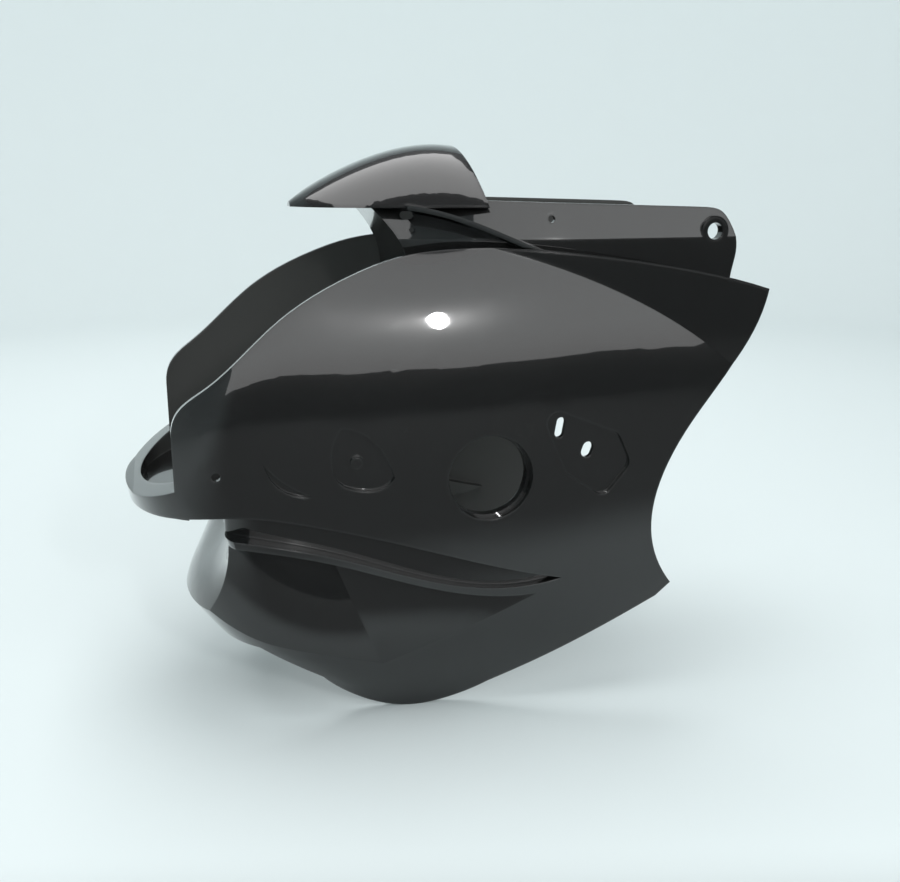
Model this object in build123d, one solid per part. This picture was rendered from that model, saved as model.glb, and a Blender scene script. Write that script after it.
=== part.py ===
from build123d import *
import os

os.makedirs("parts", exist_ok=True)

# Driving dimensions in millimetres: X across the cowl with its left side positive, Y rearwards, Z up.
# The origin is the middle of the indicator axis, halfway between the two side panels.
# A pair of numbers is a point of the side view: its place along Y, then its level.
wall = 3.0
half_width = 104.0

# Skin of the side panels: level, reach of the nose and of the corner forwards, lean of the side inwards.
crown_level, crown_nose, crown_corner, crown_lean = 140.0, 136.0, 120.0, 24.0
shoulder_level, shoulder_nose, shoulder_corner, shoulder_lean = 95.0, 170.0, 150.0, 7.0
belly_level, belly_nose, belly_corner, belly_lean = 40.0, 198.0, 172.0, 0.0
chin_level, chin_nose, chin_corner, chin_lean = -12.0, 203.0, 170.0, 0.5
cheek_level, cheek_nose, cheek_corner, cheek_lean = -50.0, 192.0, 156.0, 3.0
jaw_level, jaw_nose, jaw_corner, jaw_lean = -86.0, 171.0, 138.0, 8.0
throat_level, throat_nose, throat_corner, throat_lean = -116.0, 149.0, 118.0, 16.0
foot_level, foot_nose, foot_corner, foot_lean = -166.0, 108.0, 82.0, 34.0
corner_in = 20.0
flank_back, flank_in = 62.0, 7.0
side_place = 40.0
tail_place, tail_in = 185.0, 2.0

# Upright strip above the crease at the rear of each top edge: how far its plan lies inside the half-width.
strip_start, strip_start_in = -20.0, 27.0
strip_front, strip_front_in = 15.0, 19.0
strip_rear, strip_rear_in = 128.0, 4.5
strip_tail_in = 1.5
strip_foot = 60.0

# Outline of a side panel.
front_reach, front_top, front_foot = 175.0, 30.0, 0.0
rim_low, rim_middle, rim_high = (-156.0, 57.0), (-113.0, 94.0), (-68.0, 117.5)
rim_peak = 128.0
top_middle = (80.0, 121.5)
rear_reach, rear_top, rear_slope = 171.0, 102.5, -0.32
rear_high, rear_middle, waist = (156.0, 66.0), (121.0, 19.0), (105.5, -14.0)
heel, sill_rear, sill_front = (120.0, -79.0), (111.0, -87.5), (8.0, -142.0)
keel_rear, keel, keel_front = (-12.0, -152.5), (-40.0, -157.5), (-64.0, -151.6)
brow_rear, brow_front = (-95.0, -128.0), -132.0
jaw_foot = -105.0
chin_top, chin_tip_flat, chin_clear = -11.0, 5.0, 230.0

# Mouth between chin and jaw: its tip, its upper edge, and the edge of the jaw from the side to the front.
mouth_tip = (46.0, -67.0)
lip_rear, lip_middle = (-52.0, -37.0), (-109.0, -20.5)
lip_front, lip_corner = (-139.0, -15.0), (-165.0, -15.5)
jaw_rear, jaw_middle, jaw_side = (-52.0, -56.0), (-86.0, -43.5), (-128.0, -32.0)
jaw_turn, jaw_top = (-148.0, -28.5), -28.0
mouth_front, chin_foot = -230.0, -21.0
mouth_depth, mouth_nose, mouth_corner = 8.0, 132.0, 156.0
mouth_floor_foot, mouth_floor_top = -120.0, 20.0

# Front of the jaw, which falls back from its bulge up to its edge.
brow_nose, brow_corner, brow_swell = 131.0, 146.0, 6.0
bulge_corner, bulge_swell = 130.0, 6.0
brow_middle, brow_middle_nose, brow_middle_corner = -56.0, 149.0, 138.0
brow_start, brow_foot, brow_fall = -100.0, -125.0, 18.0

# Scoop below the jaw's edge: two turned copies of the skin that meet the panel along two hinge lines.
jaw_edge = 4.5
scoop_tip, scoop_keel, scoop_nose = (44.0, -70.0), (-60.0, -119.0), (-155.0, -84.0)
scoop_tip_in, scoop_keel_in, scoop_nose_in = 12.0, 24.0, 48.0
scoop_sink, scoop_rise = 17.0, 24.0
scoop_clear = 12.0

# Thick lip along the chin, under the headlight.
chin_lip, chin_lip_depth, chin_lip_rear = 9.0, 6.0, -168.0

# Indicator hole, its flat land and the collar behind it.
indicator_radius, land_radius = 23.5, 25.0
land_in, collar_length, land_clear = 7.0, 6.0, 20.0

# Shallow recesses: a drop round the screw point and a crescent before it, as points from the screw, and a pad
# round the two slots; then the small holes of each side panel.
recess_depth, groove_depth, pad_corner, drop_reach = 2.2, 1.4, 7.0, 16.0
screw_place, screw_level, screw_radius, screw_sink, screw_reach = -76.6, 13.6, 3.5, 0.8, 12.0
drop_top, drop_brow, drop_side, drop_heel = (-8.0, 20.0), (7.0, 14.0), (16.0, 3.0), (21.0, -10.0)
drop_foot, drop_toe, drop_jowl, drop_back = (13.0, -16.0), (1.0, -16.0), (-10.0, -11.0), (-14.0, 0.0)
crescent_top, crescent_end = (-51.0, 2.0), (-25.0, -18.0)
crescent_outer, crescent_inner = (-43.0, -12.0), (-40.0, -9.5)
pad_front, pad_rear, pad_heel = (26.4, 43.0), (77.7, 21.7), (86.7, 2.7)
pad_foot, pad_toe = (69.7, -17.3), (45.7, -0.3)
pin_place, pin_level, pin_radius = -152.8, 9.7, 2.4
slot_place, slot_level, slot_length, slot_width, slot_turn = 41.4, 27.0, 12.0, 5.4, 80.0
stub_place, stub_level, stub_length, stub_width, stub_turn = 58.7, 12.7, 9.5, 6.6, 70.0

# Visor over the instruments: an arch that grows from its tip to its crown and falls again behind it.
visor_level, visor_tip, visor_rear, visor_rake = 149.0, 97.0, 12.0, 14.0
visor_half, visor_height = 55.0, 36.5
visor_brow, visor_middle, visor_crown, visor_tail = -82.0, -50.0, -9.0, 30.0
tip_share, brow_share, middle_share, tail_share = 0.12, 0.48, 0.8, 1.04
tip_rise, brow_rise, middle_rise, tail_rise, tip_back = 0.08, 0.36, 0.77, 0.74, 3.0

# Coaming round the instruments, with the bolt eyes at the rear of its arms.
neck_half, neck_front, neck_flare = 40.0, -36.0, 8.0
neck_tip, neck_bend, neck_low, neck_foot = -57.0, (-43.0, 138.0), 126.0, 98.0
coaming_bend, coaming_bend_half = 12.0, 58.0
coaming_half, arm_start, arm_straight = 69.0, 50.0, 100.0
coaming_top, coaming_crease, coaming_foot, coaming_base, coaming_tilt = 153.0, 131.0, 116.0, 90.0, 17.0
arm_reach, arm_low, arm_high, arm_top = 166.5, 127.0, (160.0, 143.7), (142.0, 148.7)
eye_place, eye_level, eye_radius, eye_boss, eye_length = 151.5, 134.3, 5.0, 9.0, 6.0
loop_place, loop_level, loop_length, loop_width = -32.6, 144.5, 8.0, 4.6
vent_place, vent_level, vent_radius = -30.3, 136.0, 1.6
clip_place, clip_level, clip_radius = 48.1, 142.5, 2.0

# Ledges from the visor's brim down to the side panels and along the arms.
ledge = 3.0
ledge_front, ledge_middle = (-36.0, 151.0), (4.0, 140.0)
ledge_bend, ledge_rear = (47.0, 122.0), (100.0, 112.0)
ledge_end = 100.0
ledge_hem, ledge_meet, ledge_split = 70.0, (84.0, 36.0), 30.0

across_reach = half_width + 20.0
far = 400.0


def shifted(point, rise):
    return (point[0], point[1] + rise)


def plan(level, nose, corner, lean, inset):
    side = half_width - lean - inset
    left = [
        (side - tail_in, tail_place),
        (side, side_place),
        (side - flank_in, inset - corner + flank_back),
        (side - corner_in, inset - corner),
    ]
    right = [(-x, y) for x, y in reversed(left)]
    skin_line = Spline(*left, (0, inset - nose), *right)
    back_line = Line(skin_line @ 1, skin_line @ 0)
    return Pos(0, 0, level) * make_face([skin_line, back_line])


def skin(inset):
    return loft(
        [
            plan(foot_level, foot_nose, foot_corner, foot_lean, inset),
            plan(throat_level, throat_nose, throat_corner, throat_lean, inset),
            plan(jaw_level, jaw_nose, jaw_corner, jaw_lean, inset),
            plan(cheek_level, cheek_nose, cheek_corner, cheek_lean, inset),
            plan(chin_level, chin_nose, chin_corner, chin_lean, inset),
            plan(belly_level, belly_nose, belly_corner, belly_lean, inset),
            plan(shoulder_level, shoulder_nose, shoulder_corner, shoulder_lean, inset),
            plan(crown_level, crown_nose, crown_corner, crown_lean, inset),
        ]
    )


def across(outline):
    return extrude(Plane.YZ * outline, across_reach, both=True)


def upright(outline, foot, top):
    return extrude(Pos(0, 0, foot) * outline, top - foot)


def both_sides(left):
    return left + mirror(left, Plane.YZ)


def between(first, second):
    return make_face([first, second, Line(first @ 0, second @ 0), Line(first @ 1, second @ 1)])


def strip(inset):
    half = half_width - inset
    left = Spline(
        (half - strip_start_in, strip_start),
        (half - strip_front_in, strip_front),
        (half - strip_rear_in, strip_rear),
        (half - strip_tail_in, tail_place),
    )
    return upright(between(left, mirror(left, Plane.YZ)), strip_foot, crown_level)


def panel_outline():
    front_corner = (-front_reach, front_top)
    peak = (0, rim_peak)
    rear_corner = (rear_reach, rear_top)
    rim = Spline(front_corner, rim_low, rim_middle, rim_high, peak, tangents=[(0, 1), (1, 0)])
    top = Spline(peak, top_middle, rear_corner, tangents=[(1, 0), (1, rear_slope)])
    rear = Spline(rear_corner, rear_high, rear_middle, waist, heel)
    sill = Polyline(heel, sill_rear, sill_front)
    belly = Spline(sill_front, keel_rear, keel, keel_front, brow_rear)
    front = Polyline(
        brow_rear,
        (brow_front, jaw_foot),
        (-chin_clear, jaw_foot),
        (-chin_clear, chin_top),
        (chin_tip_flat - chin_nose, chin_top),
        (-front_reach, front_foot),
        front_corner,
    )
    return make_face([rim, top, rear, sill, belly, front])


def mouth(grow):
    tip = (mouth_tip[0] + 3 * grow, mouth_tip[1])
    lip_points = [lip_rear, lip_middle, lip_front, lip_corner, (mouth_front, chin_foot)]
    jaw_points = [jaw_rear, jaw_middle, jaw_side, jaw_turn, (mouth_front, jaw_top)]
    upper = Spline(tip, *[shifted(point, grow) for point in lip_points])
    lower = Spline(tip, *[shifted(point, -grow) for point in jaw_points])
    band = across(make_face([upper, lower, Line(upper @ 1, lower @ 1)]))
    floor_plan = plan(0, mouth_nose, mouth_corner, cheek_lean, mouth_depth + grow)
    return band - upright(floor_plan, mouth_floor_foot, mouth_floor_top)


def jaw_front(grow):
    block = Polyline(
        (brow_start, brow_foot - grow),
        (mouth_front, brow_foot - grow),
        (mouth_front, chin_foot - wall),
        (brow_start, chin_foot - wall),
        close=True,
    )
    front = loft(
        [
            plan(foot_level, foot_nose, foot_corner, -bulge_swell, grow),
            plan(throat_level, throat_nose, throat_corner, -bulge_swell, grow),
            plan(jaw_level, jaw_nose, bulge_corner, -bulge_swell, grow),
            plan(brow_middle, brow_middle_nose, brow_middle_corner, -brow_swell, grow),
            plan(jaw_top, brow_nose, brow_corner, -brow_swell, grow),
            plan(0, brow_nose - brow_fall, brow_corner, -brow_swell, grow),
        ]
    )
    return across(make_face(block)) - front


def scoop_hinge(start, start_in, end, end_in):
    direction = (start_in - end_in, end[0] - start[0], end[1] - start[1])
    return Axis((half_width - start_in, start[0], start[1]), direction)


def scoop(grow):
    drop = grow - jaw_edge
    edge_points = [scoop_tip, jaw_rear, jaw_middle, jaw_side, jaw_turn]
    top = Spline(*[shifted(point, drop) for point in edge_points])
    rest = Polyline(
        top @ 0,
        (scoop_keel[0] + 3 * scoop_clear, scoop_keel[1] - scoop_clear),
        (scoop_keel[0] - 3 * scoop_clear, scoop_keel[1] - scoop_clear),
        (scoop_nose[0] - scoop_clear, scoop_nose[1]),
        top @ 1,
    )
    left_half = Pos(far / 2, 0, 0) * Box(far, 2 * far, 2 * far)
    side = across(make_face([top, rest])) & left_half
    body = skin(grow)
    rear_floor = body.rotate(scoop_hinge(scoop_tip, scoop_tip_in, scoop_keel, scoop_keel_in), scoop_sink)
    front_floor = body.rotate(scoop_hinge(scoop_keel, scoop_keel_in, scoop_nose, scoop_nose_in), scoop_rise)
    return both_sides(side - (rear_floor + front_floor))


def recesses(grow):
    upper = Spline(drop_top, drop_brow, drop_side, drop_heel)
    lower = Spline(drop_heel, drop_foot, drop_toe, drop_jowl, drop_back, drop_top)
    drop = Pos(screw_place, screw_level) * scale(make_face([upper, lower]), 1 + grow / drop_reach)
    pad = make_face(Polyline(pad_front, pad_rear, pad_heel, pad_foot, pad_toe, close=True))
    pad = fillet(pad.vertices(), pad_corner)
    if grow:
        pad = offset(pad, grow)
    return across(drop + pad) - skin(recess_depth + grow)


def groove():
    outer = Spline(crescent_top, crescent_outer, crescent_end)
    inner = Spline(crescent_top, crescent_inner, crescent_end)
    crescent = Pos(screw_place, screw_level) * make_face([outer, inner])
    return across(crescent) - skin(groove_depth)


def hole(place, level, radius):
    return across(Pos(place, level) * Circle(radius))


def slot(place, level, length, width, turn):
    return across(Pos(place, level) * Rot(0, 0, turn) * SlotOverall(length, width))


def rods(place, level, radius, start, end):
    return both_sides(extrude(Plane.YZ.offset(start) * Pos(place, level) * Circle(radius), end - start))


def panels():
    carved = skin(0) + strip(0) - mouth(0) - jaw_front(0) - scoop(0) - recesses(0)
    hollow = skin(wall) + strip(wall) - mouth(wall) - jaw_front(wall) - scoop(wall) - recesses(wall)
    shell = (carved - hollow) & across(panel_outline())
    land = half_width - land_in
    shell = shell + (rods(0, 0, land_radius + wall, land - collar_length, half_width) & skin(0))
    shell = shell - rods(0, 0, land_radius, land, land + land_clear) - hole(0, 0, indicator_radius)
    screws = rods(screw_place, screw_level, screw_radius, half_width - screw_reach, half_width)
    shell = shell + (screws & skin(screw_sink))
    shell = shell - groove() - hole(pin_place, pin_level, pin_radius)
    shell = shell - slot(slot_place, slot_level, slot_length, slot_width, slot_turn)
    return shell - slot(stub_place, stub_level, stub_length, stub_width, stub_turn)


def chin():
    outer_plan = plan(0, chin_nose, chin_corner, chin_lean, wall / 2)
    inner_plan = plan(0, chin_nose, chin_corner, chin_lean, chin_lip)
    lip = upright(outer_plan - inner_plan, chin_top - chin_lip_depth, front_foot)
    lip = lip & Pos(0, chin_lip_rear - far / 2, 0) * Box(far, far, far)
    return lip & across(panel_outline())


def arch(place, half, height):
    bow = ThreePointArc((-half, 0), (0, height), (half, 0))
    face = make_face([bow, Line(bow @ 1, bow @ 0)])
    return Plane((0, place, visor_level), x_dir=(1, 0, 0), z_dir=(0, -1, 0)) * face


def visor_dome(inset):
    return loft(
        [
            arch(tip_back * inset - visor_tip, tip_share * visor_half, tip_rise * visor_height),
            arch(visor_brow + inset, brow_share * visor_half - inset, brow_rise * visor_height - inset),
            arch(visor_middle, middle_share * visor_half - inset, middle_rise * visor_height - inset),
            arch(visor_crown, visor_half - inset, visor_height - inset),
            arch(visor_tail, tail_share * visor_half - inset, tail_rise * visor_height - inset),
        ]
    )


def visor():
    hood = visor_dome(0) - visor_dome(wall)
    brim = visor_dome(0) & Pos(0, 0, visor_level + wall / 2) * Box(far, far, wall)
    brim = brim - upright(coaming_plan(wall), visor_level - wall, visor_level + 2 * wall)
    front = Pos(0, visor_rear, visor_level) * Rot(visor_rake, 0, 0) * Pos(0, -far / 2, 0) * Box(far, far, far)
    return (hood + brim) & front


def coaming_plan(inset):
    edge = Spline(
        (neck_half - neck_flare - inset, neck_tip - neck_flare),
        (neck_half - inset, neck_front),
        (coaming_bend_half - inset, coaming_bend),
        (coaming_half - 2 - inset, arm_start),
        (coaming_half - inset, arm_straight),
        tangents=[(1, 3), (0, 1)],
    )
    arm = Line(edge @ 1, (coaming_half - inset, arm_reach + wall))
    left = edge + arm
    right = mirror(left, Plane.YZ)
    front = Line(edge @ 0, mirror(edge, Plane.YZ) @ 0)
    back = Line(arm @ 1, mirror(arm, Plane.YZ) @ 1)
    return make_face([left, right, front, back])


def neck_line(back):
    return Spline(
        (neck_tip + back, coaming_top),
        (neck_bend[0] + back, neck_bend[1]),
        (neck_front + back, neck_low),
        (neck_front + back, neck_foot),
    )


def coaming_outline():
    neck = neck_line(0)
    heel_point = (arm_reach - wall, ledge_end + 2 * ledge)
    foot = Polyline(
        neck @ 1,
        (ledge_split, coaming_foot),
        (ledge_bend[0], coaming_foot),
        (arm_reach - wall, ledge_end - ledge),
        heel_point,
    )
    tail_start = (arm_reach - heel_point[0], arm_low - heel_point[1])
    tail_end = (coaming_bend - arm_top[0], coaming_top - arm_top[1])
    tail = Spline(heel_point, (arm_reach, arm_low), arm_high, arm_top, tangents=[tail_start, tail_end])
    rim = Polyline(tail @ 1, (coaming_bend, coaming_top), neck @ 0)
    return make_face([neck, foot, tail, rim])


def coaming_block(inset):
    foot = upright(coaming_plan(inset), coaming_base, coaming_crease)
    crease = Pos(0, 0, coaming_crease) * coaming_plan(inset)
    return foot + extrude(crease, coaming_top - coaming_crease, taper=coaming_tilt)


def coaming():
    block = coaming_block(0)
    walls = (block - coaming_block(wall)) & across(coaming_outline())
    front = across(between(neck_line(0), neck_line(wall))) & block
    boss = rods(eye_place, eye_level, eye_boss, coaming_half - eye_length, coaming_half)
    frame = walls + front + boss - hole(eye_place, eye_level, eye_radius)
    frame = frame - hole(vent_place, vent_level, vent_radius) - hole(clip_place, clip_level, clip_radius)
    return frame - slot(loop_place, loop_level, loop_length, loop_width, 0)


def ledge_line(drop):
    points = [ledge_front, ledge_middle, ledge_bend, ledge_rear, (arm_reach, ledge_end)]
    return Spline(*[shifted(point, -drop) for point in points])


def ledges():
    band = across(between(ledge_line(0), ledge_line(ledge)))
    left = Polyline(
        (0, ledge_front[0]),
        (visor_half - 1, ledge_front[0]),
        (ledge_hem, ledge_middle[0]),
        ledge_meet,
        (across_reach, 2 * ledge_split),
        (across_reach, arm_reach),
        (0, arm_reach),
        close=True,
    )
    shelf = band & both_sides(upright(make_face(left), coaming_base, coaming_top + wall))
    front = shelf & Pos(0, ledge_split - far / 2, 0) * Box(far, far, far)
    rear = shelf & Pos(0, ledge_split + far / 2, 0) * Box(far, far, far)
    rear = rear & (skin(0) + strip(0))
    return front + rear - upright(coaming_plan(wall / 2), coaming_base, coaming_top + wall)


cowl = panels() + chin() + ledges()
cowl = cowl + (coaming() + visor())
cowl.label = "headlight_cowl"
export_step(cowl, "parts/headlight_cowl.step")
print("solids", len(cowl.solids()), "volume", round(cowl.volume), "valid", cowl.is_valid)
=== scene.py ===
import math

import bmesh
import bpy
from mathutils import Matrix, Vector


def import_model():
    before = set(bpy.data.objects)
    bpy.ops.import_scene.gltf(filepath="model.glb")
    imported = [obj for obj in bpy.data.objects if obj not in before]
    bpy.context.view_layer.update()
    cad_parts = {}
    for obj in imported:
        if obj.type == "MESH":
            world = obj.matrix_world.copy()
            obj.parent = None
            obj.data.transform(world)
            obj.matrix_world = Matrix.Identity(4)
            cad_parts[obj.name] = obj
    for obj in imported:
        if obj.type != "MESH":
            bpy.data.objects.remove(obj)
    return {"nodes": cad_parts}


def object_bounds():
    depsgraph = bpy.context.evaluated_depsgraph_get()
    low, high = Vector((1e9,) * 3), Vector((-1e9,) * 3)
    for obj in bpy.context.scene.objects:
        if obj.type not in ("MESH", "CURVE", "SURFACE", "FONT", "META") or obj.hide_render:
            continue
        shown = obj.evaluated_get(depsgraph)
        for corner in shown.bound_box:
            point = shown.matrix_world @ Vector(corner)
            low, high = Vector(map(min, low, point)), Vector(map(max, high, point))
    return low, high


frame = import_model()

cadLow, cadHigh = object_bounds()
print("frame loaded:", ", ".join(sorted(frame["nodes"])))


class Wire:
    # one socket of a node tree; arithmetic on it adds Math nodes
    def __init__(self, tree, socket=None):
        self.tree = tree
        self.socket = socket

    def node(self, kind, settings=None, sockets=None, output=0):
        made = self.tree.nodes.new(kind)
        for name, value in (settings or {}).items():
            if name == "stops":
                for element, (place, colour) in zip(made.color_ramp.elements, value):
                    element.position = place
                    element.color = colour
            else:
                setattr(made, name, value)
        for name, value in (sockets or {}).items():
            if isinstance(value, Wire):
                self.tree.links.new(value.socket, made.inputs[name])
            else:
                made.inputs[name].default_value = value
        return Wire(self.tree, made.outputs[output])

    def reckon(self, operation, first, second):
        return self.node("ShaderNodeMath", {"operation": operation}, {0: first, 1: second})

    def __add__(self, other):
        return self.reckon("ADD", self, other)

    def __radd__(self, other):
        return self.reckon("ADD", other, self)

    def __sub__(self, other):
        return self.reckon("SUBTRACT", self, other)

    def __rsub__(self, other):
        return self.reckon("SUBTRACT", other, self)

    def __mul__(self, other):
        return self.reckon("MULTIPLY", self, other)

    def __rmul__(self, other):
        return self.reckon("MULTIPLY", other, self)


def newMaterial(name):
    material = bpy.data.materials.new(name)
    material.use_nodes = True
    tree = material.node_tree
    shader = next(n for n in tree.nodes if n.type == "BSDF_PRINCIPLED")
    return material, Wire(tree), shader


def plug(wire, shader, socket):
    wire.tree.links.new(wire.socket, shader.inputs[socket])


glossBlackLook = {
    "colour": (0.0058, 0.0060, 0.0060, 1),
    "roughness": 0.20,  # the faint haze under the polished skin
    "hazeIndex": 1.22,
    "coatRoughness": 0.028,
    "coatIndex": 1.5,
    "insideColour": (0.055, 0.056, 0.054, 1),
    "insideRoughness": 0.36,  # the back of a moulding has no polished skin
    "insideGain": 40.0,
    "edgeRadius": 0.0026,
    "edgeSamples": 8,
    "waveScale": 26.0,
    "waveDetail": 1.0,
    "waveHeight": 0.00005,
    "smudgeScale": 16.0,
    "smudgeDetail": 4.0,
    "smudgeStops": (0.45, 0.75),
    "smudgeRoughness": 0.05,  # added where the gloss has been handled
    "dustScale": 1900.0,
    "dustDetail": 2.0,
    "dustStops": (0.66, 0.78),
    "dustColour": (0.055, 0.055, 0.050, 1),
    "dustRoughness": 0.3,
    "dustAll": 0.15,  # share of the dust that lies everywhere
    "dustSmudged": 0.5,  # and what a smudge holds on top
}


def glossBlack():
    look = glossBlackLook
    material, wire, shader = newMaterial("glossBlackPlastic")
    spot = wire.node("ShaderNodeTexCoord", output="Object")
    facing = wire.node("ShaderNodeTexCoord", output="Normal")
    spotX = wire.node("ShaderNodeSeparateXYZ", {}, {0: spot}, "X")
    facingX = wire.node("ShaderNodeSeparateXYZ", {}, {0: facing}, "X")

    def noise(scale, detail):
        return wire.node("ShaderNodeTexNoise", {},
                         {"Vector": spot, "Scale": look[scale], "Detail": look[detail]})

    def blackToWhite(value, stops):
        ends = list(zip(look[stops], ((0, 0, 0, 1), (1, 1, 1, 1))))
        return wire.node("ShaderNodeValToRGB", {"stops": ends}, {"Fac": value})

    def mix(factor, first, second):
        return wire.node("ShaderNodeMix", {"data_type": "RGBA"}, {0: factor, 6: first, 7: second}, 2)

    # a side wall that faces the middle plane is the back of the moulding
    inside = wire.node("ShaderNodeMath", {"operation": "MULTIPLY", "use_clamp": True},
                       {0: spotX * facingX, 1: -look["insideGain"]})
    dust = blackToWhite(noise("dustScale", "dustDetail"), "dustStops")
    smudge = blackToWhite(noise("smudgeScale", "smudgeDetail"), "smudgeStops")
    speck = dust * (look["dustAll"] + look["dustSmudged"] * smudge)
    plain = mix(inside, look["colour"], look["insideColour"])
    colour = mix(speck, plain, look["dustColour"])
    roughness = (look["roughness"] + smudge * look["smudgeRoughness"]
                 + inside * look["insideRoughness"] + speck * look["dustRoughness"])
    waves = noise("waveScale", "waveDetail")
    rounded = wire.node("ShaderNodeBevel", {"samples": look["edgeSamples"]},
                        {"Radius": look["edgeRadius"]})
    surface = wire.node("ShaderNodeBump", {}, {"Strength": 1.0, "Distance": look["waveHeight"],
                                               "Height": waves, "Normal": rounded})
    plug(colour, shader, "Base Color")
    plug(roughness, shader, "Roughness")
    plug(1 - inside, shader, "Coat Weight")
    plug(surface, shader, "Normal")
    shader.inputs["IOR"].default_value = look["hazeIndex"]
    shader.inputs["Coat Roughness"].default_value = look["coatRoughness"]
    shader.inputs["Coat IOR"].default_value = look["coatIndex"]
    return material


cowl = frame["nodes"]["headlight_cowl"]
cowl.data.materials.clear()
cowl.data.materials.append(glossBlack())
print("cowl finished")


palePaperLook = {
    "colour": (0.63, 0.69, 0.695, 1),
    "roughness": 0.9,
    "shadeColour": (0.21, 0.22, 0.22, 1),  # painted shade on the floor, which the gloss mirrors as its dark band
    "shadeTowards": 76.0,  # degrees from the front, near the camera's azimuth
    "shadeReach": (0.215, 0.34),  # starts and is full, in metres from the cowl
    "shadeSide": (-0.45, -0.12),
    "shadeHeight": (0.15, 0.70),  # fades out up the wall
}


def paleFloorAndPaintedShade():
    # pale all round, with painted shade: a dark stretch of floor and low wall on the camera's side
    look = palePaperLook
    material, wire, shader = newMaterial("paleFloorAndPaintedShade")
    turn = math.radians(look["shadeTowards"])
    spot = wire.node("ShaderNodeTexCoord", output="Object")
    spotX, spotY, spotZ = [wire.node("ShaderNodeSeparateXYZ", {}, {0: spot}, axis)
                           for axis in "XYZ"]

    def fade(value, limits):
        return wire.node("ShaderNodeMapRange", {"interpolation_type": "SMOOTHSTEP"},
                         {"Value": value, "From Min": limits[0], "From Max": limits[1]})

    away = spotX * math.sin(turn) + spotY * -math.cos(turn)
    along = spotX * math.cos(turn) + spotY * math.sin(turn)
    # painted shade: the floor darkens away from the cowl on the camera's side, and fades out up the
    # wall
    shade = (fade(away, look["shadeReach"]) * fade(along, look["shadeSide"])
             * (1 - fade(spotZ, look["shadeHeight"])))
    colour = wire.node("ShaderNodeMix", {"data_type": "RGBA"},
                       {0: shade, 6: look["colour"], 7: look["shadeColour"]}, 2)
    plug(colour, shader, "Base Color")
    shader.inputs["Roughness"].default_value = look["roughness"]
    shader.inputs["Specular IOR Level"].default_value = 0.0
    return material


sweepShape = {"radius": 2.6, "bend": 0.9, "height": 2.6, "bendSteps": 16, "sides": 96}


def sweep():
    # round floor that curves up into a wall
    shape = sweepShape
    level = cadLow.z
    flatReach = shape["radius"] - shape["bend"]
    profile = [(flatReach, level)]
    for step in range(1, shape["bendSteps"] + 1):
        turn = math.radians(90 * step / shape["bendSteps"])
        profile.append((flatReach + shape["bend"] * math.sin(turn),
                        level + shape["bend"] * (1 - math.cos(turn))))
    profile.append((shape["radius"], level + shape["height"]))
    mesh = bmesh.new()
    middle = mesh.verts.new((0, 0, level))
    rings = []
    for step in range(shape["sides"]):
        turn = math.radians(360 * step / shape["sides"])
        rings.append([mesh.verts.new((reach * math.cos(turn), reach * math.sin(turn), height))
                      for reach, height in profile])
    for first, second in zip(rings, rings[1:] + rings[:1]):
        mesh.faces.new((middle, first[0], second[0]))
        for k in range(len(profile) - 1):
            mesh.faces.new((first[k], first[k + 1], second[k + 1], second[k]))
    data = bpy.data.meshes.new("paleSweep")
    mesh.to_mesh(data)
    mesh.free()
    for face in data.polygons:
        face.use_smooth = True
    made = bpy.data.objects.new("paleSweep", data)
    bpy.context.scene.collection.objects.link(made)
    data.materials.append(paleFloorAndPaintedShade())


# glow is the brightness of the lamp's face
lamps = {
    "frontPanel": {"shape": "RECTANGLE", "size": (2.3, 1.42), "glow": 2.1,
                   "place": (1.55, 0.45, 0.86), "aim": (0, 0.45, 0.86)},
    "topPanel": {"shape": "RECTANGLE", "size": (2.0, 1.8), "glow": 3.1,
                 "place": (-0.1, -0.35, 1.65), "aim": (-0.1, -0.3, 0)},
    "wallWash": {"shape": "RECTANGLE", "size": (3.0, 0.7), "glow": 2.9,
                 "place": (-0.8, 0.25, 1.6), "aim": (-2.4, 0.7, 0.75)},
    "spark": {"shape": "ELLIPSE", "size": (0.042, 0.17), "glow": 260.0,
              "place": (1.45, 0.160, 0.589), "aim": (0, 0, 0.1)},
}


def lamp(name, shape, size, glow, place, aim):
    data = bpy.data.lights.new(name, "AREA")
    data.shape = shape
    data.size, data.size_y = size
    area = size[0] * size[1] * (1 if shape == "RECTANGLE" else math.pi / 4)
    data.energy = glow * math.pi * area
    made = bpy.data.objects.new(name, data)
    made.location = place
    made.rotation_euler = (Vector(aim) - Vector(place)).to_track_quat("-Z", "Y").to_euler()
    bpy.context.scene.collection.objects.link(made)


studioAir = {"colour": (0.24, 0.25, 0.26, 1)}


def world():
    made = bpy.data.worlds.new("studioAir")
    made.use_nodes = True
    back = next(n for n in made.node_tree.nodes if n.type == "BACKGROUND")
    back.inputs["Color"].default_value = studioAir["colour"]
    bpy.context.scene.world = made


sweep()
for name, values in lamps.items():
    lamp(name, **values)
world()
print("studio ready")


shot = {
    "place": (0.650, -0.1757, 0.1730),
    "azimuth": 74.55,
    "elevation": 14.73,
    "lens": 42.0,
    "sensorWidth": 36.0,
}


def camera():
    data = bpy.data.cameras.new("camera")
    data.lens = shot["lens"]
    data.sensor_width = shot["sensorWidth"]
    made = bpy.data.objects.new("camera", data)
    turn, tilt = math.radians(shot["azimuth"]), math.radians(shot["elevation"])
    back = Vector((math.sin(turn) * math.cos(tilt),
                   -math.cos(turn) * math.cos(tilt), math.sin(tilt)))
    made.location = shot["place"]
    made.rotation_euler = (-back).to_track_quat("-Z", "Y").to_euler()
    bpy.context.scene.collection.objects.link(made)
    bpy.context.scene.camera = made


camera()
bpy.context.scene.view_settings.view_transform = "Standard"
print("camera set")
